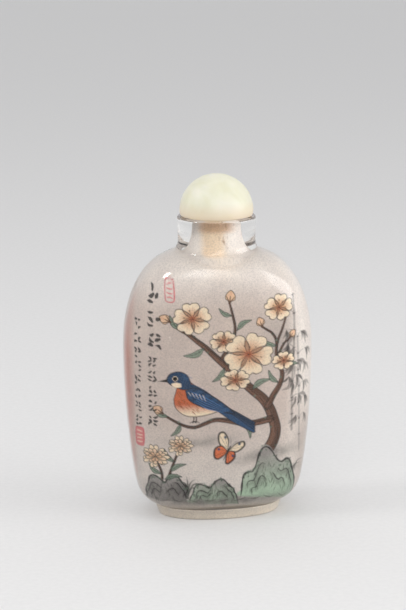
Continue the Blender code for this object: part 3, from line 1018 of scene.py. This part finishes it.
def paint_seal(panel, centre, wide, tall, seed, filled=True):
    """A red seal: a soft field or ring with a few wavy bars in it."""
    x, z = centre
    cut = ((-0.55, 1), (0.55, 1), (1, 0.7), (1, -0.7), (0.55, -1), (-0.55, -1), (-1, -0.7), (-1, 0.7))
    corner = [(x + wide / 2 * u, z + tall / 2 * v) for u, v in cut]
    if filled:
        panel.fill(corner, panel.seal, 0.80, 0.3)
    panel.outline(corner, (0.22, 0.34, 0.20, 0.30), panel.seal * 0.9, 0.85, dry=0.3, seed=seed)
    draw = np.random.default_rng(seed).uniform
    bars = max(2, round(tall / 0.8))
    for k in range(1, bars):
        bend = draw(-0.12, 0.12, 3) + z - tall / 2 + k * tall / bars
        line = [(x - wide * 0.30, bend[0]), (x, bend[1]), (x + wide * 0.30, bend[2])]
        panel.stroke(line, (0.20, 0.30, 0.18), panel.petal if filled else panel.seal, 0.75)


def paint_all(panel, *steps):
    """Each step is a way to paint, and then a row of places and sizes for each form that it lays."""
    for paint, *rows in steps:
        for row in rows:
            paint(panel, *row)


def paint_earth(panel, left, seed):
    """A short rough line along the ground."""
    line = [(left, 5.0 + 0.5 * sin(seed)), (left + 1.4, 4.8), (left + 2.6, 5.1)]
    panel.stroke(line, (0.08, 0.30, 0.06), panel.ink, 0.5, dry=0.6, seed=seed)


def paint_front(panel):
    """Blossom, a bird and bamboo over rocks, with columns of brush dabs and two seals at the left."""
    grey = panel.stone
    trunk = (9.5, 7.0), (8.2, 13.0), (10.8, 19.0), (9.0, 25.5), (4.0, 30.6), (-1.2, 35.8)
    trunk += (-6.5, 40.6), (-10.8, 43.6)
    perch = (11.2, 22.4), (4.5, 21.6), (-1.5, 22.8), (-7.0, 21.2), (-12.6, 24.0)
    paint_all(
        panel,
        (lay_ground, (1.0,)),
        (Panel.wash, ((9.5, 14.5), (6.5, 1.6), grey * 0.45, 0.65, 0.10, 3),
         ((12.0, 10.5), (5.5, 1.0), grey * 0.55, 0.55, -0.05, 8),
         ((-5.0, 18.0), (7.0, 1.3), grey * 0.70, 0.40, 0.04, 5),
         ((-9.0, 7.5), (8.0, 1.3), grey * 0.50, 0.50, -0.05, 4),
         ((3.0, 5.2), (10.0, 1.0), grey * 0.60, 0.50, 0.0, 6),
         ((12.0, 39.0), (3.6, 6.0), grey, 0.35, 0.1, 7)),
        (paint_bamboo, ((14.6, 19.0), 27.0, 0.03, 5, 0.60), ((17.0, 14.0), 24.0, 0.0, 8, 0.45)),
        (paint_grass, ((-7.6, 5.4), 5.4, 9, 12), ((15.0, 8.5), 6.0, 9, 3, 0.7),
         ((-3.4, 5.5), 4.6, 8, 16, 0.75)),
        (paint_branch, (trunk, (2.9, 2.4, 2.1, 1.6, 1.0, 0.4), 1), (perch, (1.4, 1.0, 0.6, 0.3), 2),
         (((9.0, 25.2), (12.2, 31.0), (11.0, 37.0), (13.2, 44.0)), (1.3, 0.9, 0.5, 0.25), 3),
         (((-1.0, 35.4), (2.2, 41.0), (1.2, 47.6)), (0.8, 0.5, 0.25), 4),
         (((11.2, 38.2), (10.2, 40.6), (8.0, 42.2)), (0.40, 0.25), 8),
         (((11.4, 36.0), (12.6, 38.2), (14.1, 39.3)), (0.40, 0.25), 9),
         (((-13.2, 7.5), (-13.0, 11.0), (-14.4, 14.4)), (0.45, 0.30), 5),
         (((-12.4, 7.5), (-11.0, 12.0), (-9.4, 17.0)), (0.45, 0.30), 6)),
        (paint_rock, (3.2, 4.2, 13.0, 11.5, 7), (-7.4, 3.9, 10.8, 5.6, 2),
         (-17.5, 4.6, 10.5, 6.2, 12, ("stone", "stone"), 0.95)),
        (paint_leaf, ((-4.2, 38.4), 4.6, 3.5), ((2.6, 41.8), 3.8, 0.6), ((12.0, 33.0), 4.2, 0.1),
         ((5.8, 29.0), 4.4, 0.45), ((-9.0, 42.4), 3.6, 2.2), ((0.0, 34.0), 4.0, -2.3),
         ((-11.6, 23.6), 3.8, 2.6), ((11.0, 38.0), 3.8, 2.6), ((4.0, 21.8), 3.8, -1.2),
         ((-9.2, 22.1), 3.4, -2.2), ((1.6, 45.0), 3.2, 2.6), ((11.4, 30.0), 3.6, 2.2)),
        (paint_blossom, ((-6.6, 44.6), 3.9, 0.4), ((-0.2, 39.6), 2.9, 0.9, 0.8),
         ((5.0, 36.6), 5.2, 1.1, 0.88), ((11.6, 46.0), 3.3, 0.1, 0.8),
         ((2.2, 31.2), 3.2, 0.7, 0.72), ((12.6, 34.6), 2.6, 1.6, 0.75)),
        (paint_bud, ((1.3, 48.8), 1.2, 1.4), ((-12.0, 44.4), 1.1, 2.7), ((-13.6, 24.9), 1.1, 2.5),
         ((7.6, 43.2), 1.0, 1.9), ((14.6, 40.0), 0.9, 0.8)),
        (paint_bird, ((-6.2, 22.6), 1.5)),
        (paint_butterfly, ((0.6, 15.6), 1.35, -0.5)),
        (paint_leaf, ((-13.0, 10.8), 3.6, 2.5), ((-11.2, 11.4), 3.6, 0.5), ((-10.4, 13.6), 3.6, 2.2),
         ((-12.4, 9.6), 3.6, 0.2)),
        (paint_full_flower, ((-14.4, 14.6), 3.0), ((-9.2, 17.2), 2.6)),
        (Panel.wash, ((-2.0, 4.6), (15.0, 0.9), grey * 1.1, 0.9, 0.0, 9)),
        (paint_earth, *((-14.0 + 3.2 * k, k) for k in range(9))),
        (paint_brush_marks, (-14.4, 50.6, 3.5, 3, 21), (-18.2, 44.0, 2.3, 8, 22), (-14.9, 36.6, 2.5, 5, 23)),
        (paint_seal, ((-11.0, 50.0), 1.8, 4.0, 1, False), ((-18.0, 18.6), 2.2, 4.0, 2)),
    )


def paint_back(panel):
    """Bamboo over rocks, with two flowers and a butterfly: plainer than the main face."""
    grey = panel.stone
    paint_all(
        panel,
        (lay_ground, (-1.0,)),
        (Panel.wash, ((-2.0, 10.0), (10.0, 1.8), grey * 0.6, 0.5, 0.0, 3),
         ((5.0, 6.0), (8.0, 1.2), grey * 0.7, 0.4, 0.0, 4)),
        (paint_bamboo, ((-7.0, 9.0), 37.0, 0.03, 15, 0.85), ((-2.4, 5.4), 33.6, -0.02, 16, 0.7),
         ((9.0, 6.4), 23.6, 0.05, 17, 0.55)),
        (paint_branch, (((7.0, 7.0), (7.4, 12.0), (6.2, 16.6)), (0.50, 0.30), 31),
         (((7.6, 7.0), (8.6, 10.0), (10.0, 13.4)), (0.50, 0.30), 32)),
        (paint_rock, (-13.5, 4.4, 11.5, 11.0, 18), (3.0, 4.2, 9.5, 6.0, 19, ("stone", "celadon"), 0.85)),
        (Panel.wash, ((-1.0, 4.5), (15.0, 1.0), grey * 1.1, 0.9, 0.0, 9)),
        (paint_grass, ((3.0, 6.0), 8.0, 11, 20)),
        (paint_blossom, ((6.2, 16.6), 2.6, 0.5), ((10.0, 13.4), 2.1, 1.2)),
        (paint_leaf, ((7.5, 13.5), 3.4, 2.7, panel.celadon * 0.78)),
        (paint_butterfly, ((6.0, 35.0), 1.4, 0.2)),
        (paint_brush_marks, (15.6, 45.0, 1.9, 7, 24)),
        (paint_seal, ((15.6, 29.0), 1.8, 2.2, 3)),
    )


def quarter_ring(rows, shares):
    """Points from a face's middle to its side, at even steps round each ring, and how far they are round."""
    angle = np.linspace(0.5 * pi, 0.0, 160)
    wide, deep, square = (np.maximum(rows[:, k], 1e-6)[:, None] for k in (0, 1, 3))
    radius = ((np.cos(angle) / wide) ** square + (np.sin(angle) / deep) ** square) ** (-1.0 / square)
    x, y = radius * np.cos(angle), radius * np.sin(angle)
    x[:, 0] = 0.0
    y[:, -1] = 0.0
    run = np.concatenate([np.zeros((len(rows), 1)), np.cumsum(np.hypot(np.diff(x), np.diff(y)), 1)], 1)
    spots = run[:, -1:] * shares
    across = np.stack([np.interp(s, r, p) for s, r, p in zip(spots, run, x)])
    deep_in = np.stack([np.interp(s, r, p) for s, r, p in zip(spots, run, y)])
    return across, deep_in, spots


def tint(mesh, tones, cover):
    """Write a colour on each point, and how much of the glass it covers there."""
    paint = mesh.color_attributes.new("paint", "FLOAT_COLOR", "POINT")
    colours = np.column_stack([tones, cover]).astype(np.float32)
    paint.data.foreach_set("color", colours.ravel())


def make_lining(name, rows, columns, painter, tones, material, facing):
    """Half of the lining as a fine skin, with the painting in its points' colours."""
    shares = np.linspace(0.0, 1.0, columns)
    across, deep, run = quarter_ring(rows, shares)
    x = np.concatenate([-across[:, :0:-1], across], 1)
    y = np.concatenate([deep[:, :0:-1], deep], 1)
    s = np.concatenate([-run[:, :0:-1], run], 1)
    height = np.repeat(rows[:, 2:3], x.shape[1], 1)
    co = np.stack([x * facing, -y * facing, height], 2)
    lines, width = x.shape
    panel = Panel(s.ravel() / MM, height.ravel() / MM, tones)
    painter(panel)
    corner = (np.arange(lines - 1)[:, None] * width + np.arange(width - 1)).ravel()
    faces = np.stack([corner, corner + width, corner + width + 1, corner + 1], 1)
    mesh = bpy.data.meshes.new(name)
    mesh.from_pydata(co.reshape(-1, 3), [], faces)
    tint(mesh, panel.tone, 1.0 - 0.10 * unit((panel.up - 57.0) / 2.0))
    skin = bmesh.new()
    skin.from_mesh(mesh)
    bmesh.ops.remove_doubles(skin, verts=skin.verts, dist=1e-6)
    skin.to_mesh(mesh)
    skin.free()
    mesh.shade_smooth()
    mesh.materials.append(material)
    return linked(name, mesh)


# Operators


class SNUFF_OT_glass(bpy.types.Operator):
    """Make the clear glass body, neck and foot, with its hollow"""

    bl_idname = "snuff_bottle.make_glass"
    bl_label = "Make Glass Bottle"

    def execute(self, context):
        sizes = context.scene.bottle_sizes
        rows = np.concatenate([outside_rows(sizes), hollow_rows(sizes)])
        sharp, soft = rounded_off(rows, EDGE), rounded_off(rows, SHOULDER_EDGE)
        high = int(np.argmax(sharp[:, 2] > sizes.lip_height - 1e-6))
        crest = sizes.lip_height - sizes.neck_length
        share = unit(2.0 - np.abs(sharp[:, 2] - crest) / MM)
        share[high:] = 0.0
        rows = sharp + (soft - sharp) * (share * share * (3.0 - 2.0 * share))[:, None]
        # The rows lie close outside and down to here in the bore, and apart behind the lining
        bore_end = high + int(np.argmax(rows[high:, 2] < sizes.lip_height - 11.0 * MM))
        last = len(rows) - 1
        keep = np.concatenate([np.arange(0, bore_end, 6), np.arange(bore_end, last, 16), [last]])
        glass = lofted(
            "clear_glass",
            rows[keep],
            clear_glass(),
            around=176,
            **{"Dent Depth": 0.03 * MM, "Dent Size": 12.0 * MM, "Dent Detail": 0.0, "Seed": 2.0},
        )
        glass.visible_shadow = False
        placed(glass, "glass_bottle", slot="glass_bottle")
        return {"FINISHED"}


class SNUFF_OT_lining(bpy.types.Operator):
    """Frost and paint the inside wall of the hollow, front and back"""

    bl_idname = "snuff_bottle.paint_lining"
    bl_label = "Paint Lining"

    def execute(self, context):
        sizes, colours = context.scene.bottle_sizes, context.scene.paint_colours
        tones = {name: linear(getattr(colours, name)) for name in colours.__annotations__}
        rows = rounded_off(hollow_rows(sizes), EDGE)[::2]
        lip_gap = 0.7 * MM
        rows = rows[rows[:, 2] < sizes.lip_height - lip_gap]
        rows = pushed_out(rows, sizes.paint_depth)
        # The rows lie closer together on the painted wall than on the floor and in the throat
        wall = (rows[:, 2] > 3.6 * MM) & (rows[:, 2] < 51.0 * MM)
        run = run_along(rows)
        weight = np.concatenate([[0.0], np.cumsum(np.diff(run) * np.where(wall[1:], 1.0, 0.35))])
        row_count = 372
        spots = np.linspace(0.0, weight[-1], row_count)
        rows = np.stack([np.interp(spots, weight, rows[:, k]) for k in range(4)], 1)
        material = frosting_and_paint()
        front = make_lining("painted_front", rows, 132, paint_front, tones, material, facing=1.0)
        back = make_lining("painted_back", rows, 80, paint_back, tones, material, facing=-1.0)
        # The foot's milky film is a painted reflection of the painted lining, seen in the clear foot
        rows = pushed_out(rounded_off(foot_rows(sizes), EDGE)[::3], sizes.paint_depth)
        foot = lofted("foot_reflection_film", rows, material, around=160)
        up = np.empty(len(foot.data.vertices) * 3, np.float32)
        foot.data.vertices.foreach_get("co", up)
        up = up[2::3] / MM
        side = unit(up / (sizes.foot_height / MM))
        haze = np.tile(tones["haze"] * (1.08, 1.05, 0.98), (len(up), 1))
        tint(foot.data, haze, 0.95 - 0.20 * side)
        for piece in (front, back, foot):
            placed(piece, slot="glass_bottle")
        return {"FINISHED"}


class SNUFF_OT_stopper(bpy.types.Operator):
    """Make the domed stone cap and the cork under it"""

    bl_idname = "snuff_bottle.make_stopper"
    bl_label = "Make Stopper"

    def execute(self, context):
        sizes = context.scene.stopper_sizes
        seat, radius = DOME_LOW.z, sizes.dome_radius
        turn = np.linspace(0.0, 0.5 * pi, 40)
        reach, rise = radius * np.sin(turn), radius * np.cos(turn)
        arc = np.stack([reach, reach, seat + sizes.girdle + rise], 1)
        edge = radius - sizes.draw_in
        foot = between((edge, edge, seat), (0, 0, seat), 12)
        rows = np.concatenate([arc, foot])
        rows = rounded_off(np.column_stack([rows, np.full(len(rows), 2.0)])[::-1], radius=0.15 * MM)[::3]
        rows[:, 2] = np.minimum(rows[:, 2], DOME_HIGH.z)
        dome = lofted("stopper_cap", rows, polished_stone(), around=128)
        placed(dome, "stopper_dome", slot="stopper_dome")

        top, end = CORK_HIGH.z, CORK_LOW.z
        wide, thin = sizes.cork_radius, sizes.cork_radius - sizes.cork_taper
        rows = np.concatenate(
            [
                between((0, 0, end, 2), (thin, thin, end, 2), 8),
                between((thin, thin, end, 2), (wide, wide, top, 2), 20)[1:],
                between((wide, wide, top, 2), (0, 0, top, 2), 8)[1:],
            ]
        )
        rows = rounded_off(rows, radius=0.18 * MM)[::2]
        cork = lofted(
            "cork_plug",
            rows,
            raw_cork(),
            around=150,
            **{"Dent Depth": sizes.pore_depth, "Dent Size": sizes.pore_size, "Dent Share": 0.15, "Seed": 5.0},
        )
        placed(cork, "stopper_cork", slot="stopper_cork")
        return {"FINISHED"}


def away(turn, rise):
    """The direction from the bottle at a turn from the front and a rise."""
    return Vector((sin(turn) * cos(rise), -cos(turn) * cos(rise), sin(rise)))


def add_lamp(name, turn, rise, distance, wide, tall, power, roll=0.0, edge=0.3):
    """A soft lamp at a turn and a rise in degrees, which faces the bottle and fades at its edges."""
    light = bpy.data.lights.new(name, "AREA")
    light.shape, light.size, light.size_y, light.energy = "RECTANGLE", wide, tall, power
    light.use_nodes = True
    nodes = Nodes(light.node_tree)
    place = nodes.add("ShaderNodeNewGeometry").node.outputs["Parametric"]
    spot = nodes.add("ShaderNodeSeparateXYZ", {0: place})
    fades = []
    for way in spot.node.outputs[:2]:
        off_middle = nodes.math("ABSOLUTE", nodes.math("SUBTRACT", way, 0.5))
        fades.append(nodes.ranged(off_middle, 0.5, 0.5 - edge, interpolation_type="SMOOTHSTEP"))
    strength = light.node_tree.nodes["Emission"].inputs["Strength"]
    nodes.wire(nodes.math("MULTIPLY", *fades), strength)
    lamp = linked(name, light)
    back = away(radians(turn), radians(rise))
    facing = back.to_track_quat("Z", "Y").to_matrix().to_4x4() @ Matrix.Rotation(radians(roll), 4, "Z")
    lamp.matrix_world = Matrix.Translation(LAMP_TARGET + back * distance) @ facing


class SNUFF_OT_stage(bpy.types.Operator):
    """Set the pale floor, the soft lamps and the camera"""

    bl_idname = "snuff_bottle.set_stage"
    bl_label = "Set Stage"

    def execute(self, context):
        settings = context.scene.stage_settings
        mesh = bpy.data.meshes.new("floor")
        plane = bmesh.new()
        bmesh.ops.create_grid(plane, x_segments=4, y_segments=4, size=4.0)
        plane.to_mesh(mesh)
        plane.free()
        mesh.materials.append(pale_floor(linear(settings.floor_tone)))
        linked("floor", mesh)

        world = bpy.data.worlds.new("Soft Room")
        world.use_nodes = True
        context.scene.world = world
        sky = world.node_tree.nodes["Background"].inputs
        sky["Color"].default_value = (0.97, 0.98, 1.0, 1.0)
        sky["Strength"].default_value = settings.room_light
        # Turn, rise, distance, width, height and power of each lamp, and then its roll and fade
        add_lamp("left lamp", -88, 45, 0.50, 0.13, 0.10, settings.left_power)
        add_lamp("front lamp", -12, 31, 0.50, 0.70, 0.20, settings.front_power, -36, 0.4)
        add_lamp("right lamp", 70, 17, 0.50, 0.48, 0.32, settings.right_power, -31)
        add_lamp("top lamp", -20, 82, 0.60, 0.50, 0.50, settings.top_power)

        camera = linked("camera", bpy.data.cameras.new("camera"))
        turn, rise = settings.azimuth, settings.elevation
        back = away(turn, rise)
        right = Vector((cos(turn), sin(turn), 0.0))
        above = back.cross(right)
        place = CAMERA_TARGET + back * settings.distance
        aim = CAMERA_TARGET - right * (AIM_RIGHT / PIXELS_A_MM * MM) + above * (AIM_UP / PIXELS_A_MM * MM)
        look = (place - aim).normalized()
        right = Vector((0, 0, 1)).cross(look).normalized()
        above = look.cross(right)
        roll = settings.roll
        right, above = right * cos(roll) - above * sin(roll), above * cos(roll) + right * sin(roll)
        camera.matrix_world = Matrix.Translation(place) @ Matrix((right, above, look)).transposed().to_4x4()
        camera.data.sensor_width = 36.0
        camera.data.lens = camera.data.sensor_width * PIXELS_A_MM * settings.distance / MM / IMAGE_HEIGHT
        camera.data.clip_start, camera.data.clip_end = 0.01, 20.0
        context.scene.camera = camera
        context.scene.view_settings.view_transform = "Standard"
        return {"FINISHED"}


class SNUFF_PT_panel(bpy.types.Panel):
    bl_idname = "SNUFF_PT_panel"
    bl_label = "Snuff Bottle"
    bl_space_type = "VIEW_3D"
    bl_region_type = "UI"
    bl_category = "Snuff Bottle"

    def draw(self, context):
        for kind in OPERATORS:
            self.layout.operator(kind.bl_idname)
        for name in GROUPS:
            box = self.layout.box()
            group = getattr(context.scene, name)
            for setting in group.__annotations__:
                box.prop(group, setting)


OPERATORS = (SNUFF_OT_glass, SNUFF_OT_lining, SNUFF_OT_stopper, SNUFF_OT_stage)
GROUPS = {
    "bottle_sizes": BottleSizes,
    "stopper_sizes": StopperSizes,
    "paint_colours": PaintColours,
    "stage_settings": StageSettings,
}


def register():
    for kind in (*GROUPS.values(), *OPERATORS, SNUFF_PT_panel):
        bpy.utils.register_class(kind)
    for name, kind in GROUPS.items():
        setattr(bpy.types.Scene, name, PointerProperty(type=kind))


def unregister():
    for name in GROUPS:
        delattr(bpy.types.Scene, name)
    for kind in reversed((*GROUPS.values(), *OPERATORS, SNUFF_PT_panel)):
        bpy.utils.unregister_class(kind)


def main():
    register()
    bpy.ops.snuff_bottle.make_glass()
    bpy.ops.snuff_bottle.paint_lining()
    bpy.ops.snuff_bottle.make_stopper()
    bpy.ops.snuff_bottle.set_stage()


if __name__ == "__main__":
    main()
